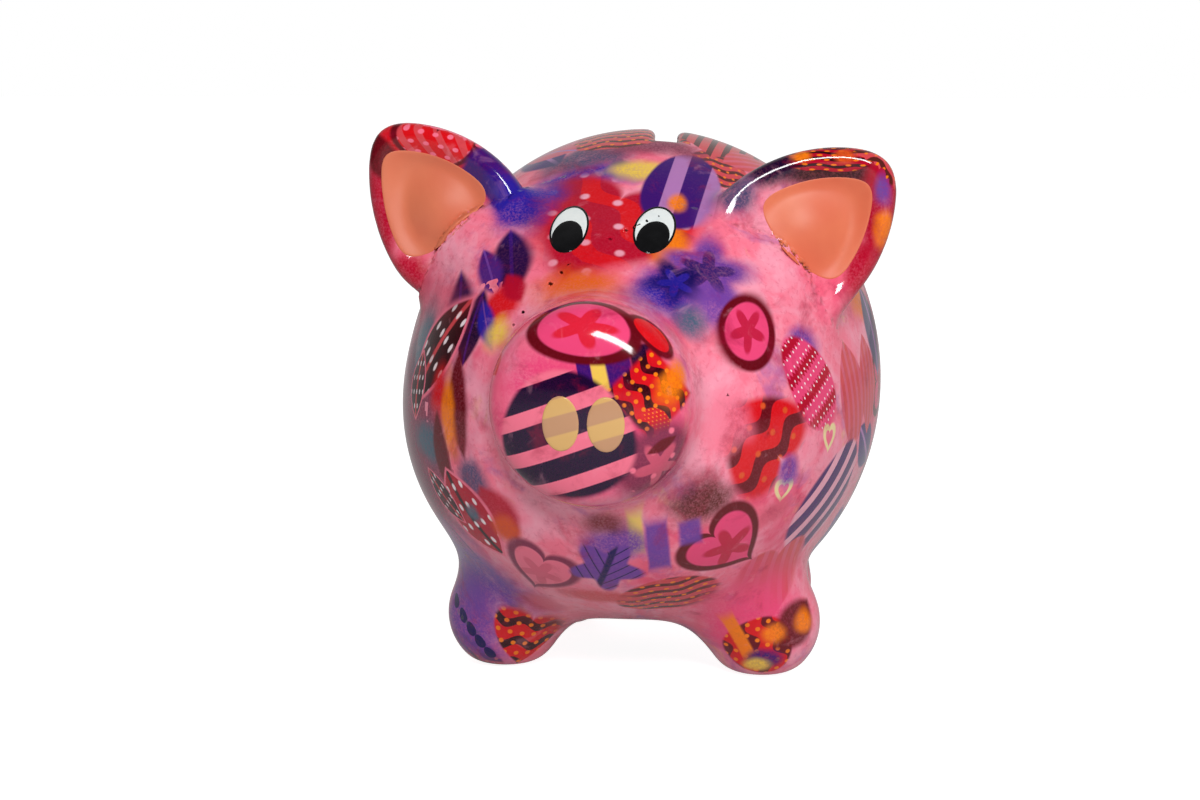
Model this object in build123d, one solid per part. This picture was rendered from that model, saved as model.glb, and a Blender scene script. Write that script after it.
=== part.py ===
from build123d import *
import math
import os

# A round, hollow, slip-cast ceramic pig money bank.  Millimetres, +Z up.  The pig looks along -Y,
# so its own left side is +X.  The origin is the middle of the floor under the pig.

# ---- driving dimensions -------------------------------------------------------------------

WALL = 4.0                  # thickness of the cast clay wall
HEAD_CENTRE = (0.0, -6.0, 76.0)
HEAD_RADIUS = 66.0
RUMP_CENTRE = (0.0, 17.5, 83.5)
RUMP_RADIUS = 70.5
BELLY_Z = 16.0              # height of the flattened belly

SLOT_LENGTH = 48.0          # runs nose to tail, along the top of the back
SLOT_WIDTH = 6.0
SLOT_X = 5.7                # the slot was cut by hand, a little left of the middle
SLOT_Y = 26.0
SLOT_TURN = 8.0             # degrees that the slot runs askew, its front end to the pig's left

HOLE_Y = 10.0               # the emptying hole in the belly
HOLE_RADIUS = 15.0

SNOUT_Z = 86.5
SNOUT_RADIUS = 27.5
SNOUT_FRONT_Y = -90.0
SNOUT_DOME_RADIUS = 75.0    # the snout's front is a shallow dome
SNOUT_EDGE_RADIUS = 8.0

EAR_DISC_RADIUS = 46.0      # the ear's outline is where three large discs overlap
EAR_SIDE_OFFSET = 17.0      # from the ear's middle out to each of its two free sides
EAR_ROOT_OFFSET = 27.0      # from the ear's middle down to its rooted side
EAR_THICKNESS = 10.0
EAR_CORNER_RADIUS = 8.0
EAR_RIM_RADIUS = 3.5
EAR_TURN = 5.0              # degrees that each ear's face turns away from the nose
LEFT_EAR_CENTRE = (56.0, -18.5, 133.0)
LEFT_EAR_LEAN = 48.0        # degrees that the ear's tip leans outward
RIGHT_EAR_CENTRE = (-57.0, -18.5, 138.0)
RIGHT_EAR_LEAN = 39.0
PATCH_MARGIN = 7.5          # width of the ear's rim outside its painted patch

FOOT_RADIUS = 16.5
FOOT_CENTRE_Z = 14.5        # lower than the radius, so the foot stands on a small flat
LEG_ROOT_RADIUS = 20.0
LEG_ROOT_Z = 38.0
FRONT_FOOT_X = 38.0
FRONT_FOOT_Y = -12.0
REAR_FOOT_X = 31.0
REAR_FOOT_Y = 46.0
LEG_ROOT_INSET = 8.0        # how much nearer the middle a leg's root is than its foot

TAIL_Z = 96.0
TAIL_COIL_RADIUS = 8.0
TAIL_THICKNESS = 7.0
TAIL_STANDOFF = 0.6         # from the rump's surface out to the middle of the tail's thickness

EYE_X = 11.5
EYE_Z = 127.0
EYE_WIDTH = 10.2
EYE_HEIGHT = 12.8
EYE_TILT = 12.0             # degrees that the top of each eye leans towards the other
EYE_OUTLINE = 0.8           # width of the black line round an eye
PUPIL_WIDTH = 9.6
PUPIL_HEIGHT = 8.6
PUPIL_DROP = 2.1            # how far the pupil's middle is below the eye's middle

NOSTRIL_X = 5.9
NOSTRIL_Z = 83.0
NOSTRIL_WIDTH = 9.6
NOSTRIL_HEIGHT = 14.4
INK = 0.3                   # thickness of a fired transfer

PLUG_CLEARANCE = 0.05       # radial, between the plug's neck and the hole
FLANGE_RADIUS = 19.5
FLANGE_THICKNESS = 2.2
FLANGE_EDGE_RADIUS = 0.9
FLANGE_GAP = 0.2            # between the flange and the belly
NECK_REACH = 4.5            # how far the neck stands up inside the wall
NECK_CHAMFER = 1.0
GROOVE_DEPTH = 0.8
GROOVE_WIDTH = 1.5
GROOVE_PLACES = (0.35, 0.7) # shares of the way up the neck
GRIP_LENGTH = 22.0
GRIP_WIDTH = 4.0
GRIP_HEIGHT = 3.0
GRIP_CORNER_RADIUS = 1.8


# ---- shared shapes ------------------------------------------------------------------------

def tapered_capsule(start, start_radius, end, end_radius):
    """Two balls joined by the cone that touches both of them."""
    run = Vector(*end) - Vector(*start)
    length = run.length
    lean = math.asin((end_radius - start_radius) / length)
    normal = Vector(-math.sin(lean), math.cos(lean))
    start_touch = normal * start_radius
    end_touch = Vector(length, 0) + normal * end_radius
    half_start = (90 - math.degrees(lean)) / 2
    half_end = (90 + math.degrees(lean)) / 2
    start_middle = Vector(-start_radius, 0).rotate(Axis.Z, -half_start)
    end_middle = Vector(length, 0) + Vector(end_radius, 0).rotate(Axis.Z, half_end)
    start_pole = Vector(-start_radius, 0)
    end_pole = Vector(length + end_radius, 0)
    outline = (
        ThreePointArc(start_pole, start_middle, start_touch)
        + Line(start_touch, end_touch)
        + ThreePointArc(end_touch, end_middle, end_pole)
        + Line(end_pole, start_pole)
    )
    across = Vector(1, 0, 0)
    if abs(run.normalized().dot(across)) > 0.9:
        across = Vector(0, 1, 0)
    side = run.cross(across)
    spun = revolve(make_face(outline), Axis.X)
    return Plane(origin=start, x_dir=run, z_dir=side) * spun


def below(height):
    """A block that holds everything under a level."""
    size = 400
    return Pos(0, 0, height - size / 2) * Box(size, size, size)


def body_form(inset):
    """The pig's rounded body, flat under the belly, drawn in from the outside by inset."""
    form = tapered_capsule(HEAD_CENTRE, HEAD_RADIUS - inset, RUMP_CENTRE, RUMP_RADIUS - inset)
    return form - below(BELLY_Z + inset)


def surface_film(centre, radius, x, z, outline):
    """A thin transfer on the front of a ball, whose outline is drawn as seen from in front."""
    ball = Pos(*centre) * (Sphere(radius + INK) - Sphere(radius))
    front = Plane(origin=(x, centre[1], z), x_dir=(1, 0, 0), z_dir=(0, -1, 0))
    return ball & extrude(front * outline, amount=radius + 1)


# ---- the cast shell -----------------------------------------------------------------------

def body_shell():
    shell = body_form(0) - body_form(WALL)
    slot_height = 40
    slot = extrude(Rot(0, 0, 90 + SLOT_TURN) * SlotOverall(SLOT_LENGTH, SLOT_WIDTH), amount=slot_height)
    shell -= Pos(SLOT_X, SLOT_Y, RUMP_CENTRE[2] + RUMP_RADIUS - slot_height / 2) * slot
    shell -= Pos(0, HOLE_Y, BELLY_Z) * Cylinder(HOLE_RADIUS, 4 * WALL)
    return shell


def snout():
    back_y = HEAD_CENTRE[1] - HEAD_RADIUS / 2
    length = back_y - SNOUT_FRONT_Y
    post = Pos(0, (back_y + SNOUT_FRONT_Y) / 2, SNOUT_Z) * Rot(90, 0, 0) * Cylinder(SNOUT_RADIUS, length)
    post &= Pos(0, SNOUT_FRONT_Y + SNOUT_DOME_RADIUS, SNOUT_Z) * Sphere(SNOUT_DOME_RADIUS)
    rim = post.edges().filter_by(GeomType.CIRCLE).sort_by(Axis.Y)[0]
    return fillet(rim, SNOUT_EDGE_RADIUS) - body_form(0)


# ---- ears ---------------------------------------------------------------------------------

def ear_place(centre, lean, side):
    """The ear's own frame: X across it, Y towards its tip, Z out of its face."""
    return Pos(*centre) * Rot(0, 0, side * EAR_TURN) * Rot(0, side * lean, 0) * Rot(90, 0, 0)


def ear_plate(margin, thickness):
    """The overlap of three discs, with rounded corners, standing on the XY plane."""
    plate = None
    for direction, offset in ((150, EAR_SIDE_OFFSET), (30, EAR_SIDE_OFFSET), (270, EAR_ROOT_OFFSET)):
        shift = EAR_DISC_RADIUS - offset
        turned = math.radians(direction)
        centre = Pos(-shift * math.cos(turned), -shift * math.sin(turned), 0)
        disc = centre * Cylinder(EAR_DISC_RADIUS - margin, thickness)
        plate = disc if plate is None else plate & disc
    corners = plate.edges().filter_by(Axis.Z)
    return fillet(corners, EAR_CORNER_RADIUS - margin / 2)


def ear(centre, lean, side):
    plate = ear_plate(0, EAR_THICKNESS)
    faces = plate.faces().filter_by(Plane.XY)
    rims = [edge for face in faces for edge in face.edges()]
    plate = fillet(rims, EAR_RIM_RADIUS)
    return ear_place(centre, lean, side) * plate - body_form(0)


def ear_patch(centre, lean, side):
    film = Pos(0, 0, (EAR_THICKNESS + INK) / 2) * ear_plate(PATCH_MARGIN, INK)
    return ear_place(centre, lean, side) * film - body_form(0)


# ---- legs and tail ------------------------------------------------------------------------

def leg(foot_x, foot_y):
    root = (foot_x - math.copysign(LEG_ROOT_INSET, foot_x), foot_y, LEG_ROOT_Z)
    form = tapered_capsule(root, LEG_ROOT_RADIUS, (foot_x, foot_y, FOOT_CENTRE_Z), FOOT_RADIUS)
    return form - below(0) - body_form(0)


def tail():
    """One turn of a curled tail that lies against the rump, half sunk into it."""
    rise = TAIL_Z - RUMP_CENTRE[2]
    outward = Vector(0, math.sqrt(RUMP_RADIUS**2 - rise**2), rise).normalized()
    middle = Vector(*RUMP_CENTRE) + outward * (RUMP_RADIUS + TAIL_STANDOFF)
    coil = Plane(origin=middle, x_dir=(1, 0, 0), z_dir=outward) * Torus(TAIL_COIL_RADIUS, TAIL_THICKNESS / 2)
    return coil - body_form(0)


# ---- fired transfers ----------------------------------------------------------------------

def eye_shapes(side):
    tilt = Rot(0, 0, side * EYE_TILT)
    whole = tilt * Ellipse(EYE_WIDTH / 2, EYE_HEIGHT / 2)
    inner = tilt * Ellipse(EYE_WIDTH / 2 - EYE_OUTLINE, EYE_HEIGHT / 2 - EYE_OUTLINE)
    pupil = tilt * Pos(0, -PUPIL_DROP) * Ellipse(PUPIL_WIDTH / 2, PUPIL_HEIGHT / 2)
    white = inner - pupil
    return white, whole - white


def eye_film(side, shape):
    return surface_film(HEAD_CENTRE, HEAD_RADIUS, side * EYE_X, EYE_Z, shape)


def nostril(side):
    dome = (0, SNOUT_FRONT_Y + SNOUT_DOME_RADIUS, SNOUT_Z)
    oval = Ellipse(NOSTRIL_WIDTH / 2, NOSTRIL_HEIGHT / 2)
    return surface_film(dome, SNOUT_DOME_RADIUS, side * NOSTRIL_X, NOSTRIL_Z, oval)


# ---- rubber stopper -----------------------------------------------------------------------

def stopper_plug():
    neck_radius = HOLE_RADIUS - PLUG_CLEARANCE
    neck_base = BELLY_Z - FLANGE_GAP
    neck_top = BELLY_Z + WALL + NECK_REACH
    neck_length = neck_top - neck_base
    neck = Pos(0, HOLE_Y, neck_base + neck_length / 2) * Cylinder(neck_radius, neck_length)
    neck = chamfer(neck.edges().sort_by(Axis.Z)[-1], NECK_CHAMFER)
    ring = Cylinder(neck_radius + 1, GROOVE_WIDTH) - Cylinder(neck_radius - GROOVE_DEPTH, GROOVE_WIDTH)
    for share in GROOVE_PLACES:
        neck -= Pos(0, HOLE_Y, neck_base + share * neck_length) * ring
    flange = Cylinder(FLANGE_RADIUS, FLANGE_THICKNESS)
    flange = fillet(flange.edges().filter_by(GeomType.CIRCLE), FLANGE_EDGE_RADIUS)
    flange = Pos(0, HOLE_Y, neck_base - FLANGE_THICKNESS / 2) * flange
    grip = Box(GRIP_LENGTH, GRIP_WIDTH, GRIP_HEIGHT + 1)
    grip = fillet(grip.edges().filter_by(Axis.Z), GRIP_CORNER_RADIUS)
    grip = Pos(0, HOLE_Y, neck_base - FLANGE_THICKNESS - GRIP_HEIGHT / 2 + 0.5) * grip
    return neck + flange + grip


# ---- the assembly -------------------------------------------------------------------------

def build_parts():
    parts = {"body_shell": body_shell(), "snout": snout(), "tail": tail(), "stopper_plug": stopper_plug()}
    ears = {
        "left": (LEFT_EAR_CENTRE, LEFT_EAR_LEAN, 1),
        "right": (RIGHT_EAR_CENTRE, RIGHT_EAR_LEAN, -1),
    }
    for name, (centre, lean, side) in ears.items():
        parts[name + "_ear"] = ear(centre, lean, side)
        parts[name + "_ear_patch"] = ear_patch(centre, lean, side)
        white, black = eye_shapes(side)
        parts[name + "_eye_white"] = eye_film(side, white)
        parts[name + "_eye_black"] = eye_film(side, black)
        parts[name + "_nostril"] = nostril(side)
        parts["front_" + name + "_leg"] = leg(side * FRONT_FOOT_X, FRONT_FOOT_Y)
        parts["rear_" + name + "_leg"] = leg(side * REAR_FOOT_X, REAR_FOOT_Y)
    return parts


os.makedirs("parts", exist_ok=True)
for node, shape in build_parts().items():
    export_step(shape, f"parts/{node}.step")
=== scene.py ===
"""The looks of a round glazed ceramic pig bank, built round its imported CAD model."""
import math

import bpy
import numpy as np
from mathutils import Matrix, Vector


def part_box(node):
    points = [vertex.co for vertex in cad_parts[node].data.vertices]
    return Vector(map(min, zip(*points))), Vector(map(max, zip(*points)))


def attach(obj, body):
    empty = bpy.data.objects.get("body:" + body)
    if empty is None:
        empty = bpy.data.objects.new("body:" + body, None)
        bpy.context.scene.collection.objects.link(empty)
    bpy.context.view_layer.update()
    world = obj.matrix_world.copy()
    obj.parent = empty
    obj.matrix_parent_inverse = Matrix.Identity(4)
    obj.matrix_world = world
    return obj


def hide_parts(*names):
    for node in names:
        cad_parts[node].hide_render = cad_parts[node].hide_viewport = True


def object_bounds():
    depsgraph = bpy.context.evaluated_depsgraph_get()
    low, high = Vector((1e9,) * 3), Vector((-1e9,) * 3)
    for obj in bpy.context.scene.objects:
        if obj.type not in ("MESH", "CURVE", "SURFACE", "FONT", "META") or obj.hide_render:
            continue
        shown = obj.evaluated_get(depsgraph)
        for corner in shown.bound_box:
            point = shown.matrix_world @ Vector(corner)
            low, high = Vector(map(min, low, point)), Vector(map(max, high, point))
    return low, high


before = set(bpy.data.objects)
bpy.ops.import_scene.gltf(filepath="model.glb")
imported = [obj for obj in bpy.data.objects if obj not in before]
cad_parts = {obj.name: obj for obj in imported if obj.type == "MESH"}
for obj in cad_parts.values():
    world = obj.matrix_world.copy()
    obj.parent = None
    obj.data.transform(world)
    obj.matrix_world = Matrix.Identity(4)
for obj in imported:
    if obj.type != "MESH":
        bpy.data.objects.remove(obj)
cad_low, cad_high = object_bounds()

MM = 0.001                      # shapes are worked out in millimetres and built in metres
X, Y, Z = 0, 1, 2


# ---- places taken from the frame ----------------------------------------------------------

def node_box(name):
    """Lowest and highest corner of a CAD node, in millimetres."""
    low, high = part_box(name)
    return np.array(low) / MM, np.array(high) / MM


body_low, body_high = node_box("body_shell")
snout_low, snout_high = node_box("snout")
tail_low, tail_high = node_box("tail")
plug_low, plug_high = node_box("stopper_plug")

# body
WALL = 4.0
BODY_ASIDE = 1.2                # how far the cast body stands to the left of its own nose
RUMP_RADII = np.array([69.6, 69.0, 73.5])
RUMP_RISE = 1.5                 # the back bulges this much above the CAD body, and less behind
RUMP = np.array([BODY_ASIDE, body_high[Y] - RUMP_RISE, body_high[Z] + RUMP_RISE]) - RUMP_RADII * (0, 1, 1)
HEAD = np.array([0.0, body_low[Y] + 66.0, 76.0])
HEAD_RADII = np.array([65.5, 69.0, 60.5])
BODY_BLEND = 14.0
BELLY_Z = body_low[Z]

# coin slot and emptying hole
SLOT_MIDDLE = np.array([5.7, 26.0])
SLOT_HALF_LENGTH = 24.0
SLOT_HALF_WIDTH = 3.0
SLOT_TURN = 8.0                 # degrees that it runs askew
SLOT_LIP = 5.0
HOLE_RADIUS = 15.0
HOLE_Y = (plug_low[Y] + plug_high[Y]) / 2

# snout
SNOUT = (snout_low + snout_high) / 2
SNOUT_RADIUS = snout_high[X]
SNOUT_FRONT = snout_low[Y]
SNOUT_DOME_RADIUS = 75.0
SNOUT_EDGE = 14.0
SNOUT_BLEND = 8.0
SNOUT_ROOT_Y = -45.0            # where the snout ends inside the head

# ears
EAR_DISC_RADIUS = 46.0
EAR_CORNER = 12.0
EAR_HALF_THICKNESS = 5.2
EAR_DISH = 3.0
EAR_TURN = 5.0
EAR_BLEND = 13.0
EAR_ROOT_RADII = (21.0, 11.0)
EARS = {                        # sides: the direction and reach of each of the outline's three discs
    "left": {
        "side": 1, "lean": 48.0, "centre": np.array([56.5, -18.5, 133.5]),
        "sides": ((144.5, 18.0), (33.0, 18.5), (270.0, 27.0)), "patch_margins": (8.2, 6.6, 12.0),
    },
    "right": {
        "side": -1, "lean": 39.0, "centre": np.array([-56.5, -18.5, 139.0]),
        "sides": ((144.5, 18.0), (32.0, 17.0), (270.0, 27.0)), "patch_margins": (7.8, 4.8, 10.8),
    },
}

# legs
FOOT_RADIUS = 17.0
FOOT_SINK = 2.0                 # the foot's ball reaches below the floor, and is cut off flat
LEG_ROOT_RADIUS = 18.0
LEG_ROOT_HEIGHT = 42.0
LEG_BLEND = 16.0
FOOT_EDGE = 4.0
LEGS = ("front_left_leg", "front_right_leg", "rear_left_leg", "rear_right_leg")
LEG_PLACES = {                  # how far aside and how far back the foot is, and then the root
    "front": ((37.6, -10.0), (22.5, -21.0)),
    "rear": ((31.0, 44.0), (25.0, 37.0)),
}
leg_shapes = {}

# tail
TAIL_MIDDLE = (tail_low + tail_high) / 2
TAIL_TURNS = 1.3
TAIL_STEPS = 34


# ---- distances to the pig's shapes --------------------------------------------------------

def soft_min(a, b, reach):
    """The smaller of two distances, with a rounded valley between them."""
    h = np.maximum(reach - np.abs(a - b), 0.0) / reach
    return np.minimum(a, b) - h * h * h * reach / 6.0


def soft_max(a, b, reach):
    return -soft_min(-a, -b, reach)


def length(v):
    return np.sqrt(np.einsum("...i,...i->...", v, v))


def ball(p, centre, radius):
    return length(p - centre) - radius


def ellipsoid(p, centre, radii):
    q = (p - centre) / radii
    k0 = length(q)
    k1 = length(q / radii)
    return k0 * (k0 - 1.0) / np.maximum(k1, 1e-9)


def round_cone(p, a, b, radius_a, radius_b):
    """Two balls of different size and the cone that touches both."""
    ab = b - a
    along_length = math.sqrt(ab @ ab)
    axis = ab / along_length
    slope = (radius_a - radius_b) / along_length
    rise = math.sqrt(1.0 - slope * slope)
    pa = p - a
    along = pa @ axis
    across = np.sqrt(np.maximum(np.einsum("...i,...i->...", pa, pa) - along * along, 0.0))
    share = along + across * slope / rise
    side = across * rise + along * slope - radius_a
    end_a = np.sqrt(along * along + across * across) - radius_a
    end_b = np.sqrt((along - along_length) ** 2 + across * across) - radius_b
    return np.where(share < 0.0, end_a, np.where(share > along_length, end_b, side))


def body_distance(p):
    head = ellipsoid(p, HEAD, HEAD_RADII)
    rump = ellipsoid(p, RUMP, RUMP_RADII)
    both = soft_min(head, rump, BODY_BLEND)
    return soft_max(both, BELLY_Z - p[..., Z], 3.0)


def snout_distance(p):
    q = p - np.array([0.0, 0.0, SNOUT[Z]])
    around = np.sqrt(q[..., X] ** 2 + q[..., Z] ** 2) - SNOUT_RADIUS
    dome_centre = np.array([0.0, SNOUT_FRONT + SNOUT_DOME_RADIUS, SNOUT[Z]])
    dome = ball(p, dome_centre, SNOUT_DOME_RADIUS)
    front = soft_max(around, dome, SNOUT_EDGE)
    return np.maximum(front, p[..., Y] - SNOUT_ROOT_Y)


def ear_axes(ear):
    """Across the ear, towards its tip, and out of its face."""
    lean, turn = math.radians(ear["lean"]), math.radians(EAR_TURN)
    spin = Matrix.Rotation(turn, 3, "Z") @ Matrix.Rotation(lean, 3, "Y")
    axes = np.array(spin @ Matrix(((1, 0, 0), (0, 0, -1), (0, 1, 0))))
    if ear["side"] < 0:
        axes = axes * np.array([[-1], [1], [1]])
    return axes


def ear_outline(u, v, sides, margins=(0.0, 0.0, 0.0), corner=EAR_CORNER):
    """Distance from the ear's outline in its own plane, where three large discs overlap."""
    edge = None
    for (direction, offset), margin in zip(sides, margins):
        turned = math.radians(direction)
        shift = EAR_DISC_RADIUS - offset
        from_centre = np.hypot(u + shift * math.cos(turned), v + shift * math.sin(turned))
        disc = from_centre - EAR_DISC_RADIUS + margin
        edge = disc if edge is None else soft_max(edge, disc, corner)
    return edge


def smooth_step(x):
    x = np.clip(x, 0.0, 1.0)
    return x * x * (3.0 - 2.0 * x)


def ear_distance(p, ear):
    q = (p - ear["centre"]) @ ear["axes"]
    u, v, w = q[..., 0], q[..., 1], q[..., 2]
    edge = ear_outline(u, v, ear["sides"])
    w = w - 0.005 * (u * u + v * v)
    beyond = np.maximum(edge + EAR_HALF_THICKNESS, 0.0)
    plate = np.sqrt(beyond * beyond + w * w) - EAR_HALF_THICKNESS
    dish = EAR_DISH * smooth_step((-edge - 3.0) / 9.0)
    plate = soft_max(plate, w - (EAR_HALF_THICKNESS - dish), 2.5)
    root = round_cone(p, ear["root_low"], ear["root_high"], *EAR_ROOT_RADII)
    return soft_min(plate, root, 12.0)


def leg_distance(p, leg):
    return round_cone(p, leg["root"], leg["foot"], LEG_ROOT_RADIUS, FOOT_RADIUS)


def tail_distance(p):
    """A curl that leaves the rump, makes one turn and a bit, and ends in a thin tip."""
    far = np.full(p.shape[:-1], 50.0)
    near = (p[..., Y] > TAIL_MIDDLE[Y] - 22.0) & (np.abs(p[..., X]) < 26.0)
    near &= np.abs(p[..., Z] - TAIL_MIDDLE[Z]) < 28.0
    q = p[near]
    best = np.full(len(q), 50.0)
    for (a, radius_a), (b, radius_b) in zip(TAIL_BEADS[:-1], TAIL_BEADS[1:]):
        best = np.minimum(best, round_cone(q, a, b, radius_a, radius_b))
    far[near] = best
    return far


def set_up_shapes():
    for ear in EARS.values():
        ear["axes"] = ear_axes(ear)
        tip = ear["axes"][:, 1]
        front = ear["axes"][:, 2]
        ear["root_high"] = ear["centre"] - 8.0 * tip - 5.0 * front
        inward = np.array([-ear["side"] * 20.0, 0.0, -21.0])
        ear["root_low"] = ear["centre"] + inward - 2.0 * front
    for name in LEGS:
        end, hand, _ = name.split("_")
        side = 1 if hand == "left" else -1
        (foot_aside, foot_back), (root_aside, root_back) = LEG_PLACES[end]
        leg_shapes[name] = {
            "foot": np.array([side * foot_aside + BODY_ASIDE, foot_back, FOOT_RADIUS - FOOT_SINK]),
            "root": np.array([side * root_aside + BODY_ASIDE, root_back, LEG_ROOT_HEIGHT]),
        }


def tail_beads():
    """Points and radii along the curl, from its root in the rump to its tip."""
    beads = []
    for step in range(TAIL_STEPS + 1):
        share = step / TAIL_STEPS
        turned = math.radians(-60) + share * TAIL_TURNS * 2 * math.pi
        reach = 8.5 - 4.5 * share
        stand = -3.0 + 5.5 * share
        lean = math.sin(math.radians(9.0))
        height = reach * math.sin(turned)
        place = np.array([
            reach * math.cos(turned),
            TAIL_MIDDLE[Y] - 2.0 + stand - lean * height,
            TAIL_MIDDLE[Z] + height,
        ])
        beads.append((place, 3.9 - 1.9 * share))
    return beads


TAIL_BEADS = tail_beads()


def piece_distances(p):
    """Distance to each of the pig's members, in the order of PIECES."""
    rows = [body_distance(p), snout_distance(p)]
    rows += [ear_distance(p, EARS[name]) for name in ("left", "right")]
    rows += [leg_distance(p, leg_shapes[name]) for name in LEGS]
    rows.append(tail_distance(p))
    return rows


PIECES = ("body_skin", "snout_skin", "left_ear_skin", "right_ear_skin",
          "front_left_leg_skin", "front_right_leg_skin", "rear_left_leg_skin", "rear_right_leg_skin",
          "tail_skin")
REPLACED = ("body_shell", "snout", "left_ear", "right_ear", *LEGS, "tail")
BLENDS = (None, SNOUT_BLEND, EAR_BLEND, EAR_BLEND, LEG_BLEND, LEG_BLEND, LEG_BLEND, LEG_BLEND, 2.5)


def outside_distance(p, rows=None):
    """The whole pig's outer surface, without its slot, hole and hollow."""
    rows = piece_distances(p) if rows is None else rows
    whole = rows[0]
    for row, blend in zip(rows[1:], BLENDS[1:]):
        whole = soft_min(whole, row, blend)
    return soft_max(whole, -p[..., Z], FOOT_EDGE)


def slot_distance(p):
    across, along = p[..., X] - SLOT_MIDDLE[X], p[..., Y] - SLOT_MIDDLE[Y]
    turn = math.radians(SLOT_TURN)
    beside = np.abs(across * math.cos(turn) + along * math.sin(turn)) - SLOT_HALF_WIDTH
    ahead = np.abs(along * math.cos(turn) - across * math.sin(turn)) - SLOT_HALF_LENGTH
    flat = soft_max(beside, ahead, 3.0)
    return np.maximum(flat, RUMP[Z] + 20.0 - p[..., Z])


def hole_distance(p):
    across = np.hypot(p[..., X], p[..., Y] - HOLE_Y) - HOLE_RADIUS
    return np.maximum(across, p[..., Z] - BELLY_Z - 3.0 * WALL)


def pig_distance(p):
    rows = piece_distances(p)
    solid = outside_distance(p, rows)
    solid = np.maximum(solid, -(rows[0] + WALL))
    solid = soft_max(solid, -slot_distance(p), SLOT_LIP)
    return soft_max(solid, -hole_distance(p), 1.6)


def gradient(distance, p, reach=0.05):
    steps = np.eye(3) * reach
    return np.stack([distance(p + s) - distance(p - s) for s in steps], axis=-1) / (2 * reach)


def unit(v):
    return v / np.maximum(length(v), 1e-12)[..., None]


# ---- a smooth mesh of the whole pig -------------------------------------------------------

MESH_STEP = 1.3
MESH_MARGIN = 3.0


def grid_values(distance, low, high, step):
    axes = [np.arange(low[i], high[i] + step, step) for i in range(3)]
    value = np.empty([len(a) for a in axes])
    for i, x in enumerate(axes[0]):
        layer = np.stack(np.meshgrid([x], axes[1], axes[2], indexing="ij"), axis=-1)
        value[i] = distance(layer)[0]
    return value


def surface_net(value, low, step):
    """One vertex in each cell that the surface crosses, and one quad round each crossed edge."""
    sizes = np.array(value.shape)
    inside = value < 0.0
    corners = [(i, j, k) for i in (0, 1) for j in (0, 1) for k in (0, 1)]
    count = sum(
        inside[i:sizes[0] - 1 + i, j:sizes[1] - 1 + j, k:sizes[2] - 1 + k].astype(np.int8)
        for i, j, k in corners
    )
    cells = np.argwhere((count > 0) & (count < 8))
    index = np.full(sizes - 1, -1)
    index[tuple(cells.T)] = np.arange(len(cells))
    total = np.zeros((len(cells), 3))
    crossings = np.zeros(len(cells))
    for corner in corners:
        for axis in range(3):
            if corner[axis]:
                continue
            a = cells + corner
            b = a.copy()
            b[:, axis] += 1
            value_a, value_b = value[tuple(a.T)], value[tuple(b.T)]
            crossed = (value_a < 0.0) != (value_b < 0.0)
            share = np.where(crossed, value_a / np.where(crossed, value_a - value_b, 1.0), 0.0)
            spot = a.astype(float)
            spot[:, axis] += share
            total += np.where(crossed[:, None], spot, 0.0)
            crossings += crossed
    points = low + step * total / crossings[:, None]
    quads = []
    for axis in range(3):
        one, two = (axis + 1) % 3, (axis + 2) % 3
        head = [slice(1, -1)] * 3
        head[axis] = slice(0, -1)
        tail = list(head)
        tail[axis] = slice(1, None)
        first, second = inside[tuple(head)], inside[tuple(tail)]
        found = np.argwhere(first != second)
        base = found + np.array([0 if i == axis else 1 for i in range(3)])
        outward = first[tuple(found.T)]
        ring = []
        for step_one, step_two in ((-1, -1), (0, -1), (0, 0), (-1, 0)):
            cell = base.copy()
            cell[:, one] += step_one
            cell[:, two] += step_two
            ring.append(index[tuple(cell.T)])
        ring = np.stack(ring, axis=1)
        quads.append(np.where(outward[:, None], ring, ring[:, ::-1]))
    return points, np.concatenate(quads)


def settle(distance, points, turns=3, reach=0.6):
    """Draws points onto the surface."""
    for _ in range(turns):
        slope = gradient(distance, points)
        size = np.maximum(np.einsum("ij,ij->i", slope, slope), 0.25)
        move = -(distance(points) / size)[:, None] * slope
        far = np.maximum(length(move) / reach, 1.0)
        points = points + move / far[:, None]
    return points


def relax(distance, points, quads, turns=4):
    """Evens out the mesh by sliding its points along the surface."""
    links = np.concatenate([quads[:, [i, (i + 1) % 4]] for i in range(4)])
    links = np.unique(np.sort(links, axis=1), axis=0)
    both = np.concatenate([links, links[:, ::-1]])
    count = np.bincount(both[:, 0], minlength=len(points)).astype(float)
    for _ in range(turns):
        middle = np.stack(
            [np.bincount(both[:, 0], points[both[:, 1], i], len(points)) for i in range(3)], axis=1
        ) / count[:, None]
        normal = unit(gradient(distance, points))
        move = 0.6 * (middle - points)
        move -= np.einsum("ij,ij->i", move, normal)[:, None] * normal
        points = settle(distance, points + move, turns=1)
    return points


def clean_regions(quads, region, turns=6):
    """Gives each quad the member that most of its neighbours have, so that seams are simple lines."""
    edges = np.concatenate([quads[:, [i, (i + 1) % 4]] for i in range(4)])
    keys = np.sort(edges, axis=1)
    order = np.lexsort((keys[:, 1], keys[:, 0]))
    face = np.tile(np.arange(len(quads)), 4)[order]
    keys = keys[order]
    same = np.all(keys[1:] == keys[:-1], axis=1)
    pair = np.stack([face[:-1][same], face[1:][same]], axis=1)
    pair = np.concatenate([pair, pair[:, ::-1]])
    kinds = region.max() + 1
    for _ in range(turns):
        votes = np.bincount(pair[:, 0] * kinds + region[pair[:, 1]], minlength=len(quads) * kinds)
        votes = votes.reshape(len(quads), kinds)
        top = votes.argmax(axis=1)
        region = np.where(votes.max(axis=1) >= 3, top, region)
    return region


CAP_RINGS = 5
CAP_DEPTH = 1.2


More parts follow.
